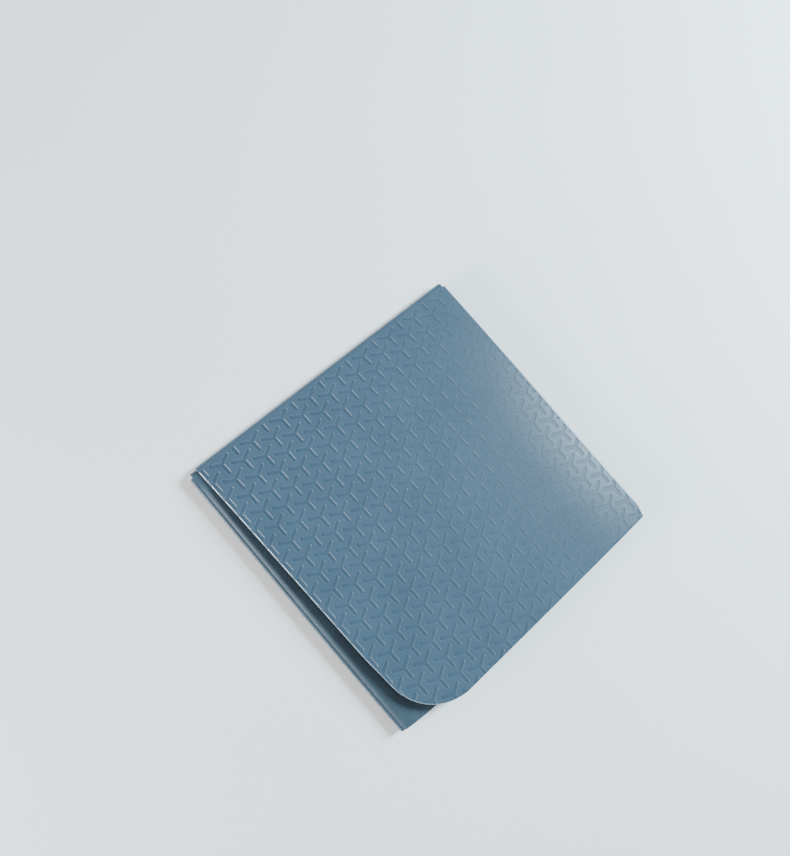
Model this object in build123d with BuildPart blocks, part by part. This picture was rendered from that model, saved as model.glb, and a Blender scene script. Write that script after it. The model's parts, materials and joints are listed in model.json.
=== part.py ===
"""Thin foam floor mat, creased into three panels, folded zigzag and then in half.

The package lies flat on its lowest leaf. +Z is up, +Y points to the spine (the lengthwise fold),
+X points to the first crosswise crease. The origin is the centre of the package's underside.

Leaves are numbered from the free end that lies on top, 1 to 3. Side "a" is the half above the
middle plane and side "b" the half below it, so the layers are 1a, 2a, 3a, 3b, 2b, 1b from the
top. Each leaf is a laminate: an embossed cushion ply, a mesh scrim and a thin grip ply.
"""

import os
from math import pi

from build123d import *

os.makedirs("parts", exist_ok=True)

# ---- driving dimensions, mm ----
sheet_length = 890.0  # mat laid flat, along the three panels
sheet_width = 610.0  # mat laid flat, across the lengthwise fold
end_panel = 293.5  # first and last panel, free end to crease line
leaf_count = 3

cushion_ply = 0.85  # embossed foam
scrim_ply = 0.15  # woven polyester reinforcement
grip_ply = 0.50  # fine-grained skin
air_gap = 0.30  # between neighbouring leaves in the package

crease_lip = 1.0  # flat length of a fold web beyond its leaf
corner_radius = 52.0  # the four corners of the mat
inner_inset = 4.0  # leaves 2 and 3 stop this far short of leaf 1's long cut edge

# ---- derived dimensions ----
thickness = cushion_ply + scrim_ply + grip_ply
pitch = thickness + air_gap
package_height = 2 * leaf_count * pitch - air_gap
middle_z = package_height / 2
middle_panel = (sheet_length - 2 * end_panel) / (leaf_count - 2)
crease_x = middle_panel / 2  # crosswise crease lines stand at +X and -X
spine_rise = (leaf_count - 0.5) * pitch  # middle plane to the middle of leaf 1
spine_reach = spine_rise + thickness / 2  # how far the lengthwise fold stands out
leaf_width = sheet_width / 2 - spine_rise * pi / 2  # the fold takes up a quarter circle
spine_y = (leaf_width - spine_reach) / 2  # lengthwise crease line
cut_y = spine_y - leaf_width  # long cut edge of leaf 1


def layer_middle(number, side):
    """Height of a leaf's middle plane in the package."""
    from_middle = (leaf_count - number + 0.5) * pitch
    return middle_z + from_middle if side == "a" else middle_z - from_middle


def embossed_up(number, side):
    """Leaf 1a shows its embossed face on top, and every fold turns the next leaf over."""
    return (number % 2 == 1) == (side == "a")


def leaf_span(number):
    """Lowest and highest X of a leaf: a free end on leaves 1 and 3, creases elsewhere."""
    low = crease_x - end_panel if number == 1 else -crease_x + crease_lip
    high = end_panel - crease_x if number == leaf_count else crease_x - crease_lip
    return low, high


def leaf_cut_y(number):
    """The long cut edge of a leaf."""
    return cut_y if number == 1 else cut_y + inner_inset


def ply(number, base, height):
    """One ply of a leaf, from the height base upwards."""
    low_x, high_x = leaf_span(number)
    low_y = leaf_cut_y(number)
    high_y = spine_y - crease_lip
    with BuildPart() as slab:
        with BuildSketch(Plane.XY.offset(base)):
            with Locations(((low_x + high_x) / 2, (low_y + high_y) / 2)):
                Rectangle(high_x - low_x, high_y - low_y)
        extrude(amount=height)
        if number in (1, leaf_count):
            free_end = slab.edges().filter_by(Axis.Z).group_by(Axis.X)[0 if number == 1 else -1]
            fillet(free_end.sort_by(Axis.Y)[0], radius=corner_radius)
    return slab.part


def u_bend(section, length, fold, rise):
    """A fold web: half a ring with two flat lips, extruded along the fold line.

    section is the plane across the fold, its X pointing out of the fold and its Y up. fold is
    the place of the fold line in it, and rise the radius of the web's middle line, which is
    half the distance between the middles of the leaves that it joins.
    """
    out, middle = fold
    outer = rise + thickness / 2
    inner = rise - thickness / 2
    lip = out - crease_lip
    with BuildPart() as web:
        with BuildSketch(section):
            with BuildLine():
                CenterArc((out, middle), outer, start_angle=-90, arc_size=180)
                Line((out, middle + outer), (lip, middle + outer))
                Line((lip, middle + outer), (lip, middle + inner))
                Line((lip, middle + inner), (out, middle + inner))
                CenterArc((out, middle), inner, start_angle=-90, arc_size=180)
                Line((out, middle - inner), (lip, middle - inner))
                Line((lip, middle - inner), (lip, middle - outer))
                Line((lip, middle - outer), (out, middle - outer))
            make_face()
        extrude(amount=length)
    return web.part


def save(piece, name):
    """Label a finished piece and write it."""
    piece.label = name
    export_step(piece, f"parts/{name}.step")


# ---- leaves: three plies each, in the order that the folds leave them ----
for side in ("a", "b"):
    for number in range(1, leaf_count + 1):
        base = layer_middle(number, side) - thickness / 2
        stack = [("grip", grip_ply), ("scrim", scrim_ply), ("cushion", cushion_ply)]
        if not embossed_up(number, side):
            stack.reverse()
        for ply_name, height in stack:
            save(ply(number, base, height), f"leaf_{number}{side}_{ply_name}")
            base += height

# ---- crosswise creases: odd ones at the +X end, even ones at the -X end ----
for side in ("a", "b"):
    for number in range(1, leaf_count):
        towards = 1 if number % 2 == 1 else -1
        middle = (layer_middle(number, side) + layer_middle(number + 1, side)) / 2
        start_y = leaf_cut_y(2)
        end_y = spine_y - crease_lip
        across = Plane(origin=(0, start_y, 0), x_dir=(towards, 0, 0), z_dir=(0, -towards, 0))
        along = -towards * (end_y - start_y)
        crease = u_bend(across, along, (crease_x, middle), pitch / 2)
        save(crease, f"crease_{side}_{number}_{number + 1}")

# ---- lengthwise folds: one web for each panel, nested around the middle plane ----
for number in range(1, leaf_count + 1):
    low_x, high_x = leaf_span(number)
    rise = layer_middle(number, "a") - middle_z
    across = Plane(origin=(low_x, 0, 0), x_dir=(0, 1, 0), z_dir=(1, 0, 0))
    spine = u_bend(across, high_x - low_x, (spine_y, middle_z), rise)
    save(spine, f"spine_fold_{number}")
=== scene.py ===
"""Looks for a thin foam floor mat, folded zigzag in three and then in half.

Everything is in metres, in the CAD frame: +Z up through the leaves, +Y to the spine (the
lengthwise fold), +X to the first crosswise crease. Leaves are numbered 1 to 3 from the free
end that lies on top; side "a" is the upper half of the package and side "b" the lower half.
"""

import json
import math

import bmesh
import bpy
import numpy as np
from mathutils import Matrix, Vector


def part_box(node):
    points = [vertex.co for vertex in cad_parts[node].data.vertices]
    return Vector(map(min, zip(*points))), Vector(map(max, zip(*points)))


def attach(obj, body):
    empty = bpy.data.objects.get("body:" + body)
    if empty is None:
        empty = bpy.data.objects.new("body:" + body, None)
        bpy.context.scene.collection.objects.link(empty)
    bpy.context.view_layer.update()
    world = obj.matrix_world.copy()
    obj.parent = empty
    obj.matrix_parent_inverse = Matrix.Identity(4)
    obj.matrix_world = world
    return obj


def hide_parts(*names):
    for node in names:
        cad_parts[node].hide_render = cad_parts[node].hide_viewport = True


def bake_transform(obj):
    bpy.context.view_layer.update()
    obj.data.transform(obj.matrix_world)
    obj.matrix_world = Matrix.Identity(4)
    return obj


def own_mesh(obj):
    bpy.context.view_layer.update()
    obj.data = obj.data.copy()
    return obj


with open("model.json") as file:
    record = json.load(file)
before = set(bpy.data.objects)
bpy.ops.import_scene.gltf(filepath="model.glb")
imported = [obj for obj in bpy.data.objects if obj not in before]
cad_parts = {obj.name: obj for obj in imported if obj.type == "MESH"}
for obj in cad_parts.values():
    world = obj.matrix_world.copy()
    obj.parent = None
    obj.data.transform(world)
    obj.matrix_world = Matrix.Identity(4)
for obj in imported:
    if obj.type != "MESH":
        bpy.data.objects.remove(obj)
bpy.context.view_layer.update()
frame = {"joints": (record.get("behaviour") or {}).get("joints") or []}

MM = 0.001
LEAVES = (1, 2, 3)
SIDES = ("a", "b")

# ---- places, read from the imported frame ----
JOINTS = {joint["name"]: joint for joint in frame["joints"]}
SPINE_Y = JOINTS["half_fold"]["pos_m"][1]
MIDDLE_Z = JOINTS["half_fold"]["pos_m"][2]
CREASE_X = abs(JOINTS["crease_a_1_2_hinge"]["pos_m"][0])
CUT_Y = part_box("leaf_1a_cushion")[0][1]
FREE_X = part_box("leaf_1a_cushion")[0][0]
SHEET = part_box("leaf_1a_cushion")[1].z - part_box("leaf_1a_grip")[0].z  # the three plies together
CORNER_RADIUS = 52 * MM  # of the free corners
CORNER_STEPS = 20
GRID_STEP = 6 * MM  # between the points of a plain face or a fold web
BEND_STEPS = 14  # faces round a fold web
HALF_BEND_STEPS = 12  # and round half of one
LIP = 1.0 * MM  # flat part of a fold web, between its leaf and its bend

# ---- the emboss: a hexagonal lattice of three-armed grooves ----
PERIOD = 18.1 * MM  # along Y
STRETCH_X = 1.055  # the sheet was drawn along its length after the emboss
ARM_LENGTH = 11.2 * MM
ARM_WIDTH = 3.4 * MM  # between the middles of its steep walls
GROOVE_DEPTH = 0.48 * MM
WALL_WIDTH = 0.40 * MM
GROOVE_LEAN = (-0.20, 0.05)  # the roller leaves the grooves leaning: shift of the floor, per depth
BULGE = 3.2 * MM  # how far a cell's edge gives way to its neighbour's arm
ARM_ANGLES = (-90, 30, 150)
EMBOSS_START = (-7.0 * MM, 2.9 * MM)  # centre of one groove
REACH = 30  # lattice cells counted each way from that one; those off the leaf are left out
ON_PLANE = 1e-7  # a point this near to a cutting plane counts as on it
SAME_POINT = 2e-6  # points of neighbouring cells are one point when they round alike to this
WELD = 0.01 * MM  # and what still lies this close is joined

# ---- the cut edges of the embossed faces ----
EDGE_ROUND = 1.3 * MM  # they are rounded over this width
EDGE_DROP = 0.95 * MM
ROUND_SHARES = (1.0, 0.65, 0.35, 0.12)  # where the rounding has rows of points, from inside out
RIM_HIGHLIGHT_SHARE = 0.35  # the part of it, along the free edge, that is painted pale as a highlight
RIM_HIGHLIGHT_FACING = 0.3  # the painted highlight on the rim ends where the edge's outward normal has less than this along -X
SHARP = math.radians(28)  # faces that meet at more than this are not shaded as one

# ---- how the folded leaves lie ----
FREE_EDGE_SKEW = 8.8 * MM  # the first crease isn't quite square, so the free edge runs askew
LONG_EDGE_SKEW = 8.6 * MM  # and so does the long cut edge of the outermost leaves
NEAR_INSET = 4.0 * MM  # long cut edge of leaves 2 and 3, at the first crease
INSET_GROWTH = 8.0 * MM  # more at the second crease
TIP_INSET = 3.9 * MM  # and more again in the last few centimetres
TIP_START = 0.88  # which begin at this share of the way
CORNER_LIFT = 5.0 * MM  # the free corner of the top leaf springs up
EDGE_LIFT = 4.8 * MM  # and the rest of its free edge a little
EDGE_RISE = 75 * MM  # the spine holds that edge down over this distance
DOME = 1.8 * MM  # the top leaf stands this much above its folds
DOME_RISE = (60 * MM, 45 * MM)  # away from the first crease and from the spine
BOW_START = 0.6  # the bow of a crease begins at this share of the way to it
NEAR_BULGE = (1.1 * MM, 3.8 * MM)  # first crease: how far it bows out, at the spine and cut ends
CORNER_TUCK = 3.2 * MM  # and how far its last corner tucks back in
TUCK_START = 0.97  # from this share of the way to the cut end
FAR_BULGE = 2.8 * MM  # second crease: how far it bows out, before it fades towards the cut edge
CUT_BOW = 0.9 * MM  # the long cut edge of the top leaf bows out this far
ROLL_HEIGHT = 1.8 * MM  # leaf 2a rolls over into the second crease, standing this much higher
ROLL_WIDTH = 4.0 * MM
ROLL_FADE = 24 * MM
ROLL_RISE = 25 * MM  # and the roll is held down by the spine over this distance
ROLL_STEP = 1 * MM  # between points there

# ---- colours and finish ----
FOAM_BLUE = (0.052, 0.088, 0.126)
# groove floors: painted shade, darker than the land
GROOVE_SHADE_BLUE = (0.046, 0.078, 0.111)
# groove walls: painted highlight, lighter than the land
WALL_HIGHLIGHT_BLUE = (0.075, 0.135, 0.190)
# cut edges, and also the pale painted highlight on the free edge's rim
CUT_FOAM_AND_RIM_HIGHLIGHT = (0.30, 0.40, 0.47)
GRIP_BLUE = (0.044, 0.072, 0.096)
SCRIM_WHITE = (0.62, 0.66, 0.68)
FLOOR_TINTS = ((0.92, 0.91, 0.90), (0.95, 0.94, 0.93))

# ---- texture scales, in features to the metre ----
FOAM_CLOUDS = 38
FOAM_SKIN = 620
FOAM_PORES = 2600
GRIP_CLOUDS = 60
GRIP_GRAINS = 950
CUT_CELLS = 3200
SCRIM_YARNS = 320
FLOOR_CLOUDS = 3

# ---- material slots ----
SKIN_SLOT, CUT_AND_RIM_HIGHLIGHT_SLOT, FLOOR_SLOT, WALL_SLOT = range(4)  # of a leaf's ply
WEB_FOAM, WEB_GRIP, WEB_CUT = range(3)  # of a fold web


def direction(degrees):
    """The cosine and sine of an angle in degrees."""
    return math.cos(math.radians(degrees)), math.sin(math.radians(degrees))


# =============================== materials ===============================
def new_material(name, roughness, specular=0.5):
    """A Principled material; returns it with its nodes, links and shader."""
    material = bpy.data.materials.new(name)
    material.use_nodes = True
    nodes, links = material.node_tree.nodes, material.node_tree.links
    shader = nodes["Principled BSDF"]
    shader.inputs["Roughness"].default_value = roughness
    shader.inputs["Specular IOR Level"].default_value = specular
    return material, nodes, links, shader


def noise(nodes, links, where, scale, detail=3.0, roughness=0.5):
    """A noise texture in the object's own coordinates."""
    texture = nodes.new("ShaderNodeTexNoise")
    texture.inputs["Scale"].default_value = scale
    texture.inputs["Detail"].default_value = detail
    texture.inputs["Roughness"].default_value = roughness
    links.new(where, texture.inputs["Vector"])
    return texture


def ramp(nodes, links, factor, low, high, start=0.3, end=0.7):
    """A colour ramp: low up to the start position, and high from the end position on."""
    stops = nodes.new("ShaderNodeValToRGB")
    stops.color_ramp.elements[0].position = start
    stops.color_ramp.elements[1].position = end
    stops.color_ramp.elements[0].color = (*low, 1)
    stops.color_ramp.elements[1].color = (*high, 1)
    links.new(factor, stops.inputs["Fac"])
    return stops


def scaled(colour, factor):
    """A colour made darker or lighter."""
    return tuple(channel * factor for channel in colour)


def bump(nodes, links, height, strength, distance, before=None):
    """A bump node, on top of an earlier one if there is one."""
    node = nodes.new("ShaderNodeBump")
    node.inputs["Strength"].default_value = strength
    node.inputs["Distance"].default_value = distance
    links.new(height, node.inputs["Height"])
    if before is not None:
        links.new(before.outputs["Normal"], node.inputs["Normal"])
    return node


def roughness_range(nodes, links, shader, factor, low, high):
    """Roughness that varies with a texture."""
    spread = nodes.new("ShaderNodeMapRange")
    spread.inputs["To Min"].default_value = low
    spread.inputs["To Max"].default_value = high
    links.new(factor, spread.inputs["Value"])
    links.new(spread.outputs["Result"], shader.inputs["Roughness"])


def embossed_foam(name, colour, smooth, rough, specular=0.5):
    """The cushion side: satin foam skin with faint pores and cloudy colour."""
    material, nodes, links, shader = new_material(name, rough, specular)
    where = nodes.new("ShaderNodeTexCoord").outputs["Object"]
    clouds = noise(nodes, links, where, FOAM_CLOUDS, detail=4)
    tint = ramp(nodes, links, clouds.outputs["Fac"], scaled(colour, 0.94), scaled(colour, 1.06))
    links.new(tint.outputs["Color"], shader.inputs["Base Color"])
    pores = noise(nodes, links, where, FOAM_PORES, detail=2, roughness=0.6)
    skin = noise(nodes, links, where, FOAM_SKIN, roughness=0.55)
    fine = bump(nodes, links, pores.outputs["Fac"], strength=0.3, distance=0.05 * MM)
    both = bump(nodes, links, skin.outputs["Fac"], strength=0.3, distance=0.06 * MM, before=fine)
    links.new(both.outputs["Normal"], shader.inputs["Normal"])
    roughness_range(nodes, links, shader, skin.outputs["Fac"], smooth, rough)
    return material


def grip_skin():
    """The grip side: a fine even grain of low bumps, like a basketball's but much finer."""
    material, nodes, links, shader = new_material("grip_skin", 0.5, 0.25)
    where = nodes.new("ShaderNodeTexCoord").outputs["Object"]
    grains = nodes.new("ShaderNodeTexVoronoi")
    grains.feature = "SMOOTH_F1"
    grains.inputs["Scale"].default_value = GRIP_GRAINS
    links.new(where, grains.inputs["Vector"])
    clouds = noise(nodes, links, where, GRIP_CLOUDS, detail=4)
    dark, light = scaled(GRIP_BLUE, 0.9), scaled(GRIP_BLUE, 1.12)
    tint = ramp(nodes, links, clouds.outputs["Fac"], dark, light)
    hollows = nodes.new("ShaderNodeMix")
    hollows.data_type = "RGBA"
    hollows.blend_type = "MULTIPLY"
    hollows.inputs["Factor"].default_value = 0.5
    shade = ramp(nodes, links, grains.outputs["Distance"], (1, 1, 1), (0.62, 0.66, 0.7), 0.15, 0.75)
    links.new(tint.outputs["Color"], hollows.inputs["A"])
    links.new(shade.outputs["Color"], hollows.inputs["B"])
    links.new(hollows.outputs["Result"], shader.inputs["Base Color"])
    flipped = nodes.new("ShaderNodeMath")
    flipped.operation = "SUBTRACT"
    flipped.inputs[0].default_value = 1.0
    links.new(grains.outputs["Distance"], flipped.inputs[1])
    relief = bump(nodes, links, flipped.outputs["Value"], strength=0.4, distance=0.3 * MM)
    links.new(relief.outputs["Normal"], shader.inputs["Normal"])
    roughness_range(nodes, links, shader, grains.outputs["Distance"], 0.44, 0.56)
    return material


def cut_foam_and_rim_highlight():
    """A cut edge: paler open cells. The same material paints the pale highlight on the rim of the
    free edge.
    """
    material, nodes, links, shader = new_material("cut_foam_and_rim_highlight", 0.7, 0.3)
    where = nodes.new("ShaderNodeTexCoord").outputs["Object"]
    cells = nodes.new("ShaderNodeTexVoronoi")
    cells.inputs["Scale"].default_value = CUT_CELLS
    links.new(where, cells.inputs["Vector"])
    tint = ramp(nodes, links, cells.outputs["Distance"], CUT_FOAM_AND_RIM_HIGHLIGHT, scaled(CUT_FOAM_AND_RIM_HIGHLIGHT, 0.6), 0.1, 0.8)
    links.new(tint.outputs["Color"], shader.inputs["Base Color"])
    relief = bump(nodes, links, cells.outputs["Distance"], strength=0.5, distance=0.1 * MM)
    links.new(relief.outputs["Normal"], shader.inputs["Normal"])
    return material


def woven_scrim():
    """The reinforcement: crossing yarns, seen only as a pale line in the cut edge."""
    material, nodes, links, shader = new_material("woven_scrim", 0.75, 0.3)
    where = nodes.new("ShaderNodeTexCoord").outputs["Object"]
    heights = []
    for axis in ("X", "Y"):
        yarns = nodes.new("ShaderNodeTexWave")
        yarns.bands_direction = axis
        yarns.inputs["Scale"].default_value = SCRIM_YARNS
        links.new(where, yarns.inputs["Vector"])
        heights.append(yarns.outputs["Fac"])
    crossed = nodes.new("ShaderNodeMath")
    crossed.operation = "MAXIMUM"
    links.new(heights[0], crossed.inputs[0])
    links.new(heights[1], crossed.inputs[1])
    tint = ramp(nodes, links, crossed.outputs["Value"], scaled(SCRIM_WHITE, 0.5), SCRIM_WHITE)
    links.new(tint.outputs["Color"], shader.inputs["Base Color"])
    relief = bump(nodes, links, crossed.outputs["Value"], strength=0.6, distance=0.2 * MM)
    links.new(relief.outputs["Normal"], shader.inputs["Normal"])
    return material


FOAM = embossed_foam("embossed_foam", FOAM_BLUE, smooth=0.21, rough=0.28)
# painted shade: the groove floors are darker than the land
GROOVE_SHADE = embossed_foam("groove_floor_painted_shade", GROOVE_SHADE_BLUE, smooth=0.32, rough=0.42, specular=0.3)
# painted highlight: the groove walls are lighter than the land
WALL_HIGHLIGHT = embossed_foam("wall_painted_highlight", WALL_HIGHLIGHT_BLUE, smooth=0.42, rough=0.52, specular=0.3)
GRIP = grip_skin()
CUT_AND_RIM_HIGHLIGHT = cut_foam_and_rim_highlight()
SCRIM = woven_scrim()


# =============================== leaf outlines ===============================
def embossed_up(number, side):
    """Leaf 1a shows its embossed face on top, and every fold turns the next leaf over."""
    return (number % 2 == 1) == (side == "a")


def long_edge_inset(number, x):
    """How far the long cut edge of a leaf lies inside the nominal outline, at a place along X."""
    along = min(max((CREASE_X - x) / (2 * CREASE_X), 0.0), 1.0)
    if number == 1:
        return LONG_EDGE_SKEW * (along - 0.5)
    tip = max(0.0, (along - TIP_START) / (1 - TIP_START))
    return NEAR_INSET + INSET_GROWTH * along + TIP_INSET * tip**1.5


def outline_planes(number):
    """The planes that bound a leaf seen from above: (point, outward normal, is it a cut edge)."""
    low_x, high_x = -CREASE_X + LIP, CREASE_X - LIP
    planes = [((0, SPINE_Y - LIP), (0, 1), False)]
    toward, end_x = 0, 0.0  # which way along X the leaf has a free end, and where
    if number == 1:
        tilt = FREE_EDGE_SKEW / (SPINE_Y - CUT_Y)
        planes.append(((FREE_X, (CUT_Y + SPINE_Y) / 2), (-1, -tilt), True))
        low_x = None
        toward, end_x = -1, FREE_X + FREE_EDGE_SKEW / 2
    elif number == len(LEAVES):
        planes.append(((-FREE_X, 0), (1, 0), True))
        high_x = None
        toward, end_x = 1, -FREE_X
    if low_x is not None:
        planes.append(((low_x, 0), (-1, 0), False))
    if high_x is not None:
        planes.append(((high_x, 0), (1, 0), False))
    shares = [0] + [TIP_START + (1 - TIP_START) * step / 3 for step in range(4)]
    stations = [CREASE_X * (1 - 2 * along) for along in shares]
    for x, after in zip(stations, stations[1:]):
        y, after_y = (CUT_Y + long_edge_inset(number, place) for place in (x, after))
        normal = Vector((after_y - y, x - after)).normalized()
        planes.append((((x + after) / 2, (y + after_y) / 2), (-normal.x, -normal.y), True))
    if toward:
        centre = Vector((end_x - toward * CORNER_RADIUS, 0))
        centre.y = CUT_Y + long_edge_inset(number, centre.x) + CORNER_RADIUS
        for step in range(1, CORNER_STEPS):
            c, s = direction(90 * step / CORNER_STEPS)
            normal = Vector((toward * s, -c))
            planes.append((tuple(centre + CORNER_RADIUS * normal), tuple(normal), True))
    return planes


def bisect(mesh, point, normal, keep):
    """Cut a mesh along a plane that stands upright, and keep or drop what lies outside it."""
    bmesh.ops.bisect_plane(
        mesh,
        geom=mesh.verts[:] + mesh.edges[:] + mesh.faces[:],
        dist=ON_PLANE,
        plane_co=(*point, 0),
        plane_no=(*normal, 0),
        clear_outer=not keep,
    )


def clip(mesh, planes, rounded):
    """Cut away everything outside the planes.

    A rounded face also turns down towards its cut edges, and gets a pale painted highlight along
    the rim of the one that faces the free end.
    """
    for point, normal, _ in planes:
        bisect(mesh, point, normal, False)
    if not rounded:
        return
    edges = []
    for point, normal, cut in planes:
        if cut:
            edges.append((Vector(point), Vector(normal).normalized()))
    for share in ROUND_SHARES:
        for point, normal in edges:
            bisect(mesh, point - share * EDGE_ROUND * normal, normal, True)
    for vertex in mesh.verts:
        inside = min((point - vertex.co.xy).dot(normal) for point, normal in edges)
        if inside < EDGE_ROUND:
            vertex.co.z -= EDGE_DROP * (1 - max(inside, 0) / EDGE_ROUND) ** 2
    # painted highlight: the rim along the free edge gets the pale cut material
    free = [(point, normal) for point, normal in edges if normal.x < -RIM_HIGHLIGHT_FACING]
    for face in mesh.faces:
        centre = face.calc_center_median().xy
        if any((point - centre).dot(normal) < RIM_HIGHLIGHT_SHARE * EDGE_ROUND for point, normal in free):
            face.material_index = CUT_AND_RIM_HIGHLIGHT_SLOT


# =============================== the emboss ===============================
RING = 12 * len(ARM_ANGLES)  # points in each ring of a cell


def ring_points(width, length):
    """The outline of a three-armed groove: 12 points for each arm, from notch to notch."""
    half = width / 2
    notch = half / direction(60)[1]
    cap = length - half
    c, s = direction(-60)
    arm = [(notch * c, notch * s)]
    arm += [(share * length, -half) for share in (0.3, 0.6)]
    arm.append((cap, -half))
    for angle in (-60, -30, 0, 30, 60):
        c, s = direction(angle)
        arm.append((cap + half * c, half * s))
    arm.append((cap, half))
    arm += [(share * length, half) for share in (0.6, 0.3)]
    return turned(arm)


def turned(arm):
    """One arm's points, repeated in the three arm directions."""
    points = []
    for angle in ARM_ANGLES:
        c, s = direction(angle)
        points += [(c * x - s * y, s * x + c * y) for x, y in arm]
    return np.array(points)


def cell_points():
    """The border of one lattice cell, in step with ring_points.

    It is the lattice's hexagon, with each edge bent outwards before an arm's tip and inwards
    before the neighbour's.
    """
    apothem = PERIOD / 2
    half_edge = apothem * math.tan(math.radians(30))

    def on_edge(facing, share, sign):
        out = apothem + sign * BULGE * math.cos(math.pi * share / 2) ** 2
        across = share * half_edge
        c, s = direction(facing)
        return (c * out - s * across, s * out + c * across)

    arm = [on_edge(-60, share, -1) for share in (0, 1 / 3, 2 / 3)]
    arm += [on_edge(0, share, 1) for share in (-1, -2 / 3, -1 / 3, 0, 1 / 3, 2 / 3, 1)]
    arm += [on_edge(60, share, -1) for share in (-2 / 3, -1 / 3)]
    return turned(arm)


def emboss_cell():
    """One cell: its points, from the border to the middle, and the faces between them."""
    rings = [(cell_points(), 0.0)]
    for offset, depth in ((WALL_WIDTH / 2, 0), (-WALL_WIDTH / 2, 1)):
        outline = ring_points(ARM_WIDTH + 2 * offset, ARM_LENGTH + offset)
        z = depth * GROOVE_DEPTH
        rings.append((outline + z * np.array(GROOVE_LEAN), -z))
    points = np.concatenate([np.c_[outline, np.full(RING, z)] for outline, z in rings])
    points = np.vstack([points, [0, 0, -GROOVE_DEPTH]])
    middle = len(points) - 1
    faces = []
    for ring in range(len(rings) - 1):
        for k in range(RING):
            after = (k + 1) % RING
            outer, inner = ring * RING, (ring + 1) * RING
            faces.append((outer + k, outer + after, inner + after, inner + k))
    last = (len(rings) - 1) * RING
    faces += [(last + k, last + (k + 1) % RING, middle) for k in range(RING)]
    return points, faces


def cell_slot(face):
    """Which material a face of the cell has: the land, a groove's wall (painted lighter, as a
    highlight) or its floor (painted darker, as shade).
    """
    nearest_ring = min(face) // RING
    return (SKIN_SLOT, WALL_SLOT, FLOOR_SLOT)[nearest_ring]


def emboss_mesh(low, high, skew):
    """The embossed face over a rectangle, as a bmesh with its land at z = 0.

    skew leans the rows of grooves that run across the sheet.
    """
    cell, faces = emboss_cell()
    step_x = PERIOD * direction(30)[0]
    centres = []
    for column in range(-REACH, REACH + 1):
        for row in range(-REACH, REACH + 1):
            x = EMBOSS_START[0] + column * step_x * STRETCH_X
            y = EMBOSS_START[1] + (row + (column % 2) / 2) * PERIOD
            inside_x = low[0] - PERIOD < x < high[0] + PERIOD
            if inside_x and low[1] - PERIOD < y < high[1] + PERIOD:
                centres.append((x, y, 0))
    cell = cell * (STRETCH_X, 1, 1)
    points = (np.array(centres)[:, None, :] + cell[None, :, :]).reshape(-1, 3)
    points[:, 0] -= skew * points[:, 1]
    keys = np.round(points / SAME_POINT).astype(np.int64)
    _, first, same = np.unique(keys, axis=0, return_index=True, return_inverse=True)
    same = same.reshape(-1)
    mesh = bpy.data.meshes.new("emboss")
    all_faces = []
    for number in range(len(centres)):
        start = number * len(cell)
        all_faces += [[int(same[start + corner]) for corner in face] for face in faces]
    mesh.from_pydata(points[first].tolist(), [], all_faces)
    slots = [cell_slot(face) for face in faces]
    mesh.polygons.foreach_set("material_index", slots * len(centres))
    made = bmesh.new()
    made.from_mesh(mesh)
    bpy.data.meshes.remove(mesh)
    bmesh.ops.remove_doubles(made, verts=made.verts[:], dist=WELD)
    return made


def plain_mesh(low, high):
    """A flat grid over a rectangle, finer along the second crease, as a bmesh at z = 0."""
    made = bmesh.new()
    roll_end = 2 * ROLL_WIDTH - CREASE_X
    lines_x = np.concatenate([
        [low[0]],
        np.arange(-CREASE_X, roll_end, ROLL_STEP),
        np.linspace(roll_end, high[0], round((high[0] - roll_end) / GRID_STEP)),
    ])
    lines_y = np.linspace(low[1], high[1], round((high[1] - low[1]) / GRID_STEP))
    grid = [[made.verts.new((x, y, 0)) for y in lines_y] for x in lines_x]
    for i in range(len(lines_x) - 1):
        for j in range(len(lines_y) - 1):
            made.faces.new((grid[i][j], grid[i + 1][j], grid[i + 1][j + 1], grid[i][j + 1]))
    return made


# =============================== slabs ===============================
def close_slab(face, thickness):
    """Turn a face mesh (outer side up at z = 0) into a closed slab under it.

    The face is copied flat to the underside, and walls join the two along the border.
    """
    border = [edge for edge in face.edges if edge.is_boundary]
    copied = bmesh.ops.duplicate(face, geom=face.verts[:] + face.edges[:] + face.faces[:])
    twin = copied["vert_map"]
    under = [item for item in copied["geom"] if isinstance(item, bmesh.types.BMFace)]
    for item in copied["geom"]:
        if isinstance(item, bmesh.types.BMVert):
            item.co.z = -thickness
    bmesh.ops.reverse_faces(face, faces=under)
    for edge in border:
        loop = edge.link_loops[0]
        start, end = loop.vert, loop.link_loop_next.vert
        wall = face.faces.new((end, start, twin[start], twin[end]))
        wall.material_index = CUT_AND_RIM_HIGHLIGHT_SLOT
    face.normal_update()


def rise_to(distance, over):
    """0 at a fold, rising to 1 at a certain distance from it."""
    return np.sin(np.pi / 2 * np.clip(distance / over, 0, 1))


def near_bow(from_spine):
    """How far the first crease bows out, by the share of the way from the spine to the cut edge."""
    at_spine, at_cut = NEAR_BULGE
    tuck = np.clip((from_spine - TUCK_START) / (1 - TUCK_START), 0, 1) ** 2
    return at_spine + (at_cut - at_spine) * from_spine**0.7 - CORNER_TUCK * tuck


def far_bow(from_spine):
    """The same for the second crease: nearly even at first, then less towards the cut edge."""
    even = 0.94 + 0.02 * np.sin(np.pi * from_spine)
    return FAR_BULGE * (even - 0.66 * from_spine**3.5)


def toward_fold(x):
    """0 over most of a leaf, and then up to 1 at the crease on the side where x is positive."""
    return np.clip((x - BOW_START * CREASE_X) / ((1 - BOW_START) * CREASE_X), 0, 1) ** 2


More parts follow.
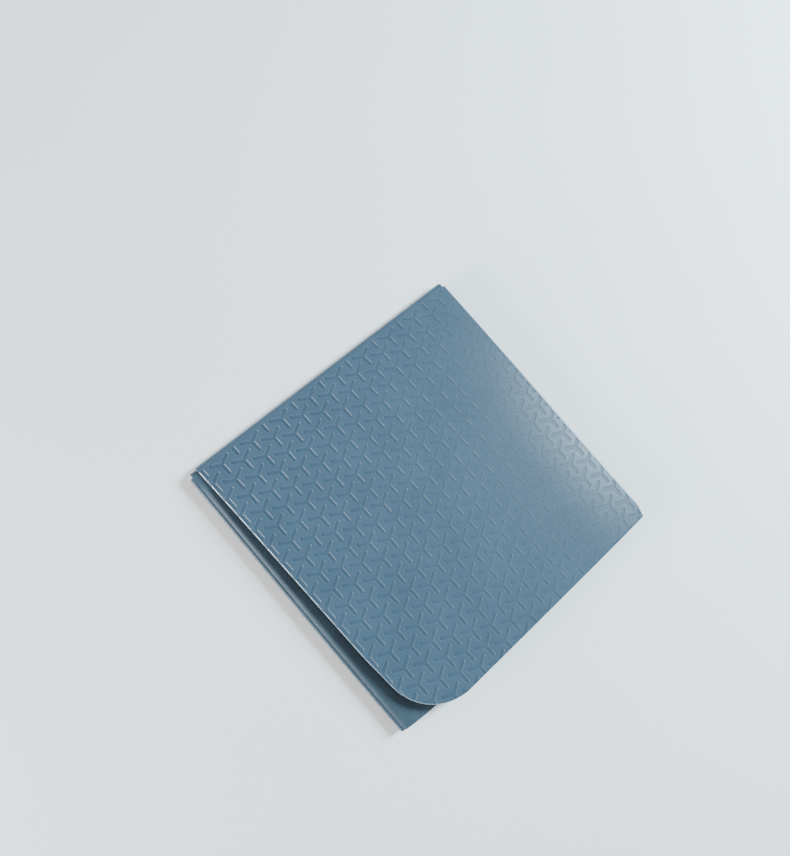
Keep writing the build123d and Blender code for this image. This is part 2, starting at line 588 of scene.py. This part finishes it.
def spring(x, y, from_crease, from_spine):
    """How far the top leaf rises: most at its free corner, less along its free edge, and a
    little all over, because it is slightly domed."""
    corner = CORNER_LIFT * from_crease**2.4 * from_spine**1.6
    edge = EDGE_LIFT * from_crease**3 * rise_to(SPINE_Y - y, EDGE_RISE) * (1 - 0.5 * from_spine)
    dome = DOME * rise_to(CREASE_X - x, DOME_RISE[0]) * rise_to(SPINE_Y - y, DOME_RISE[1])
    return corner + edge + dome


def roll_over(x, y):
    """How far leaf 2a rises where it rolls over into the second crease."""
    before = np.sin(np.pi / 2 * np.clip((x + CREASE_X) / ROLL_WIDTH, 0, 1)) ** 2
    after = np.cos(np.pi / 2 * np.clip((x + CREASE_X - ROLL_WIDTH) / ROLL_FADE, 0, 1)) ** 2
    return ROLL_HEIGHT * before * after * rise_to(SPINE_Y - y, ROLL_RISE)


def settled(co, number, side=None):
    """Points moved to where the folded foam really lies.

    A number halfway between those of two leaves stands for the web that joins them.
    """
    x, y = co[:, 0].copy(), co[:, 1].copy()
    from_spine = np.clip((SPINE_Y - y) / (SPINE_Y - CUT_Y), 0, 1)
    if number < 2.5:
        co[:, 0] += near_bow(from_spine) * toward_fold(x)
    if number > 1.5:
        co[:, 0] -= far_bow(from_spine) * toward_fold(-x)
    if (number, side) == (1, "a"):
        from_crease = np.clip((CREASE_X - x) / (CREASE_X - FREE_X), 0, 1)
        co[:, 2] += spring(x, y, from_crease, from_spine)
        co[:, 1] -= CUT_BOW * np.sin(np.pi * from_crease) * from_spine**3
    if (number, side) == (2, "a"):
        co[:, 2] += roll_over(x, y)
    return co


def new_piece(made, name, number, side, level, materials):
    """A bmesh as an object, raised to its level and settled with the leaf or web it is part of."""
    mesh = bpy.data.meshes.new(name)
    made.to_mesh(mesh)
    made.free()
    mesh.transform(Matrix.Translation((0, 0, level)))
    co = np.empty(len(mesh.vertices) * 3)
    mesh.vertices.foreach_get("co", co)
    mesh.vertices.foreach_set("co", settled(co.reshape(-1, 3), number, side).reshape(-1))
    mesh.update()
    for material in materials:
        mesh.materials.append(material)
    mesh.shade_smooth()
    mesh.set_sharp_from_angle(angle=SHARP)
    piece = bpy.data.objects.new(name, mesh)
    bpy.context.scene.collection.objects.link(piece)
    return piece


def finish_slab(made, name, number, side, level, up, materials):
    """A slab as a piece, with its outer face at a level and facing up or down."""
    if not up:
        for vertex in made.verts:
            vertex.co.z = -vertex.co.z
        bmesh.ops.reverse_faces(made, faces=made.faces[:])
    return new_piece(made, name, number, side, level, materials)


def make_leaf(number, side):
    """The three plies of one leaf, each as its own piece."""
    body = f"leaf_{number}{side}"
    up = embossed_up(number, side)
    cushion_low, cushion_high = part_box(f"{body}_cushion")
    grip_low, grip_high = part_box(f"{body}_grip")
    scrim_low, scrim_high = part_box(f"{body}_scrim")
    planes = outline_planes(number)
    low = Vector((-CREASE_X - FREE_EDGE_SKEW, CUT_Y - FREE_EDGE_SKEW))
    high = Vector((CREASE_X, SPINE_Y))

    skew = FREE_EDGE_SKEW / (SPINE_Y - CUT_Y) if number == 1 else 0
    face = emboss_mesh(low, high, skew)
    clip(face, planes, True)
    close_slab(face, cushion_high.z - cushion_low.z)
    outer = cushion_high.z if up else cushion_low.z
    # the groove floors are painted darker as shade, their walls lighter as a highlight, and the
    # free edge's rim pale as a highlight
    slots = (FOAM, CUT_AND_RIM_HIGHLIGHT, GROOVE_SHADE, WALL_HIGHLIGHT)
    cushion = finish_slab(face, f"{body}_cushion_foam", number, side, outer, up, slots)

    skin = plain_mesh(low, high)
    clip(skin, planes, False)
    close_slab(skin, grip_high.z - grip_low.z)
    outer = grip_low.z if up else grip_high.z
    grip = finish_slab(skin, f"{body}_grip_skin", number, side, outer, not up, (GRIP, CUT_AND_RIM_HIGHLIGHT))

    weave = plain_mesh(low, high)
    clip(weave, planes, False)
    middle = (scrim_low.z + scrim_high.z) / 2
    scrim = finish_slab(weave, f"{body}_scrim_mesh", number, side, middle, up, (SCRIM,))

    for piece, node, slot in (
        (cushion, f"{body}_cushion", "cushion"),
        (grip, f"{body}_grip", "grip"),
        (scrim, f"{body}_scrim", "scrim"),
    ):
        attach(piece, body)
        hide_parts(node)
    if (number, side) == (1, "a"):  # the top leaf's pieces get meshes of their own; opened out, this leaf lies face down and is nearly flat
        for piece, level in ((cushion, cushion_high.z), (grip, grip_low.z), (scrim, middle)):
            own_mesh(piece)


for leaf_side in SIDES:
    for leaf_number in LEAVES:
        make_leaf(leaf_number, leaf_side)


# =============================== fold webs ===============================
def web_sides(number):
    """The slots of the outer and inner face of a fold that leads on from a leaf."""
    return (WEB_FOAM, WEB_GRIP) if number % 2 == 1 else (WEB_GRIP, WEB_FOAM)


def ribbon(name, number, profile, starts, end, place, outer_slot, inner_slot):
    """A closed strip: a profile of (outer, inner) point pairs, drawn from start to end.

    The two sides of the profile have starts of their own. place turns a profile point and a
    distance along the fold into a point.
    """
    steps = round(abs(end - starts[0]) / GRID_STEP)
    made = bmesh.new()
    rows = []
    for step in range(steps + 1):
        row = []
        for k, (outer, inner) in enumerate(profile):
            start = starts[0] + (starts[1] - starts[0]) * k / (len(profile) - 1)
            along = start + (end - start) * step / steps
            row.append((made.verts.new(place(outer, along)), made.verts.new(place(inner, along))))
        rows.append(row)
    for row, after in zip(rows, rows[1:]):
        for k in range(len(profile) - 1):
            outside = made.faces.new((row[k][0], row[k + 1][0], after[k + 1][0], after[k][0]))
            inside = made.faces.new((row[k][1], after[k][1], after[k + 1][1], row[k + 1][1]))
            outside.material_index = outer_slot
            inside.material_index = inner_slot
        for k in (0, len(profile) - 1):
            side = made.faces.new((row[k][0], row[k][1], after[k][1], after[k][0]))
            side.material_index = WEB_CUT
    for row in (rows[0], rows[-1]):
        for k in range(len(profile) - 1):
            cap = made.faces.new((row[k][0], row[k][1], row[k + 1][1], row[k + 1][0]))
            cap.material_index = WEB_CUT
    bmesh.ops.recalc_face_normals(made, faces=made.faces[:])
    return new_piece(made, name, number, None, 0, (FOAM, GRIP, CUT_AND_RIM_HIGHLIGHT))


def bend_profile(fold, middle, rise, thickness, first, last, steps):
    """(outer, inner) pairs round a bend, from angle first to last, in degrees from straight out.

    A flat lip runs back from each end of the bend that is at 90 degrees.
    """
    outer, inner = rise + thickness / 2, rise - thickness / 2
    pairs = []
    for step in range(steps + 1):
        c, s = direction(first + (last - first) * step / steps)
        pairs.append((
            (fold + outer * c, middle + outer * s),
            (fold + inner * c, middle + inner * s),
        ))
    for end, angle in ((0, first), (-1, last)):
        if abs(angle) == 90:
            lip = [(point[0] - LIP, point[1]) for point in pairs[end]]
            pairs.insert(0 if end == 0 else len(pairs), tuple(lip))
    return pairs


def make_crease(side, number):
    """The web between two leaves at a crosswise crease."""
    name = f"crease_{side}_{number}_{number + 1}"
    low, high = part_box(name)
    x, _, z = JOINTS[f"{name}_hinge"]["pos_m"]
    out = 1 if x > 0 else -1
    rise = (high.z - low.z - SHEET) / 2
    upper, lower = (number, number + 1) if side == "a" else (number + 1, number)
    piece = ribbon(
        f"{name}_web",
        number + 0.5,
        bend_profile(CREASE_X, z, rise, SHEET, 90, -90, BEND_STEPS),
        [CUT_Y + long_edge_inset(leaf, x) for leaf in (upper, lower)],
        SPINE_Y - LIP,
        lambda point, along: (out * point[0], along, point[1]),
        *web_sides(number),
    )
    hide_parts(name)
    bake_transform(piece)


def make_spine(number):
    """The lengthwise fold of one panel.

    The innermost web is one whole bend. The outer ones are two halves, because their leaves hang on
    different creases, and each half is attached to its own leaf.
    """
    low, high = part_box(f"spine_fold_{number}")
    rise = (high.z - low.z - SHEET) / 2
    start = low.x - FREE_EDGE_SKEW / 2 if number == 1 else low.x

    def web_between(name, first, last, steps):
        web = ribbon(
            name,
            number,
            bend_profile(SPINE_Y, MIDDLE_Z, rise, SHEET, first, last, steps),
            (start, start),
            high.x,
            lambda point, along: (along, point[0], point[1]),
            *web_sides(number),
        )
        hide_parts(f"spine_fold_{number}")
        return web

    if number == len(LEAVES):
        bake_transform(web_between(f"spine_fold_{number}_web", 90, -90, BEND_STEPS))
        return
    for side, first in (("a", 90), ("b", -90)):
        web = web_between(f"spine_fold_{number}{side}_web", first, 0, HALF_BEND_STEPS)
        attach(web, f"leaf_{number}{side}")
        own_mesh(web)


for web_side in SIDES:
    for web_number in LEAVES[:-1]:
        make_crease(web_side, web_number)
for web_number in LEAVES:
    make_spine(web_number)


# =============================== stage ===============================
def make_floor():
    """A plain pale floor, just under the package."""
    mesh = bpy.data.meshes.new("floor")
    size = 6.0
    mesh.from_pydata(
        [(-size, -size, 0), (size, -size, 0), (size, size, 0), (-size, size, 0)], [], [(0, 1, 2, 3)]
    )
    floor = bpy.data.objects.new("floor", mesh)
    bpy.context.scene.collection.objects.link(floor)
    material, nodes, links, shader = new_material("pale_floor", 0.8, 0.2)
    where = nodes.new("ShaderNodeTexCoord").outputs["Object"]
    clouds = noise(nodes, links, where, FLOOR_CLOUDS)
    tint = ramp(nodes, links, clouds.outputs["Fac"], *FLOOR_TINTS)
    links.new(tint.outputs["Color"], shader.inputs["Base Color"])
    mesh.materials.append(material)
    floor.location.z = -0.2 * MM


def area_light(name, place, aim, size, watts, colour=(1, 1, 1)):
    """A softbox at a place, turned to a point."""
    data = bpy.data.lights.new(name, "AREA")
    data.shape = "RECTANGLE"
    data.size, data.size_y = size
    data.energy = watts
    data.color = colour
    light = bpy.data.objects.new(name, data)
    light.location = place
    light.rotation_euler = (Vector(aim) - Vector(place)).to_track_quat("-Z", "Y").to_euler()
    bpy.context.scene.collection.objects.link(light)


def make_lights():
    """A big softbox beyond the first crease, whose sheen fades across the top leaf, and a lower
    one on the other side that catches the free edge and the walls of the grooves."""
    area_light(
        "key",
        place=(1.76, -0.40, 1.23),
        aim=(0.1, 0, 0),
        size=(0.55, 1.0),
        watts=155,
        colour=(0.66, 0.88, 1.0),
    )
    area_light(
        "side",
        place=(-1.62, 0.34, 0.27),
        aim=(-0.05, 0, 0),
        size=(0.9, 0.42),
        watts=85,
    )
    world = bpy.data.worlds.new("studio")
    world.use_nodes = True
    background = world.node_tree.nodes["Background"]
    background.inputs["Color"].default_value = (0.95, 0.97, 1.0, 1)
    background.inputs["Strength"].default_value = 0.42
    bpy.context.scene.world = world


def make_camera():
    """A view from 0.65 m over the package, a little to its free end."""
    place = Vector((-0.1862, 0.0354, 0.6237))
    aim = Vector((0.0164, 0.0668, 0.0105))
    roll = math.radians(40.53)
    data = bpy.data.cameras.new("camera")
    data.sensor_width = 36
    data.lens = 29.06
    data.clip_start, data.clip_end = 0.01, 50
    camera = bpy.data.objects.new("camera", data)
    back = (place - aim).normalized()
    up = (Vector((0, 1, 0)) - back.y * back).normalized()
    right = up.cross(back)
    tilted_up = math.cos(roll) * up + math.sin(roll) * right
    tilted_right = tilted_up.cross(back)
    turn = Matrix((tilted_right, tilted_up, back)).transposed()
    camera.matrix_world = Matrix.Translation(place) @ turn.to_4x4()
    bpy.context.scene.collection.objects.link(camera)
    bpy.context.scene.camera = camera


make_floor()
make_lights()
make_camera()
